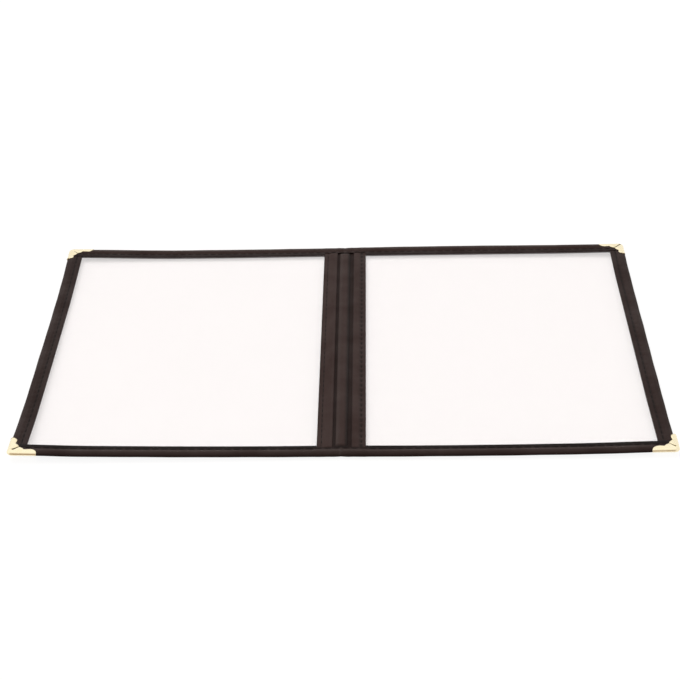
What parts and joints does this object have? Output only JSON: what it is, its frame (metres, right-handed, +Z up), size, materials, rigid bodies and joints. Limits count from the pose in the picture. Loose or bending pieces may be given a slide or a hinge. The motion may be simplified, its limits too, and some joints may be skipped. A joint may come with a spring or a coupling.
{
  "type": "menu cover",
  "caption": "Folding menu cover lying open: clear pocket windows framed by sewn leatherette tape, padded spine strip, stamped metal corners.",
  "frame": {"origin": "middle of the footprint of the open cover, on the table", "axes": "+X from the front leaf to the back leaf, +Y towards the top edge, +Z up from the table through the inside faces"},
  "size_m": [0.4714, 0.2984, 0.0044],
  "materials": {
    "leatherette": "dark brown, fine grain, satin",
    "window_film": "clear, glossy",
    "corner_metal": "pale gold, polished",
    "thread": "dark twisted thread",
    "filler_card": "pressed card"
  },
  "bodies": {
    "back_cover": {"back_edge_tape": "leatherette", "back_top_tape": "leatherette", "back_bottom_tape": "leatherette", "back_spine_margin": "leatherette", "back_inside_hem": "leatherette", "back_outside_hem": "leatherette", "back_inside_film": "window_film", "back_outside_film": "window_film", "back_top_corner": "corner_metal", "back_bottom_corner": "corner_metal", "back_edge_thread": "thread", "back_top_thread": "thread", "back_bottom_thread": "thread", "back_inside_hem_thread": "thread", "back_outside_hem_thread": "thread"},
    "spine": {"spine_inside_strip": "leatherette", "spine_outside_strip": "leatherette", "spine_filler": "filler_card", "spine_top_tape": "leatherette", "spine_bottom_tape": "leatherette", "spine_top_thread": "thread", "spine_bottom_thread": "thread"},
    "front_cover": {"front_edge_tape": "leatherette", "front_top_tape": "leatherette", "front_bottom_tape": "leatherette", "front_spine_margin": "leatherette", "front_inside_hem": "leatherette", "front_outside_hem": "leatherette", "front_inside_film": "window_film", "front_outside_film": "window_film", "front_top_corner": "corner_metal", "front_bottom_corner": "corner_metal", "front_edge_thread": "thread", "front_top_thread": "thread", "front_bottom_thread": "thread", "front_inside_hem_thread": "thread", "front_outside_hem_thread": "thread"}
  },
  "joints": [
    {"name": "back_fold", "type": "hinge", "parent": "back_cover", "child": "spine", "pos_m": [0.0054, 0, 0.0022], "axis": [0, 1, 0], "range_deg": [-90.3, 90.3]},
    {"name": "front_fold", "type": "hinge", "parent": "spine", "child": "front_cover", "pos_m": [-0.0054, 0, 0.0022], "axis": [0, 1, 0], "range_deg": [-90.3, 90.3]}
  ]
}
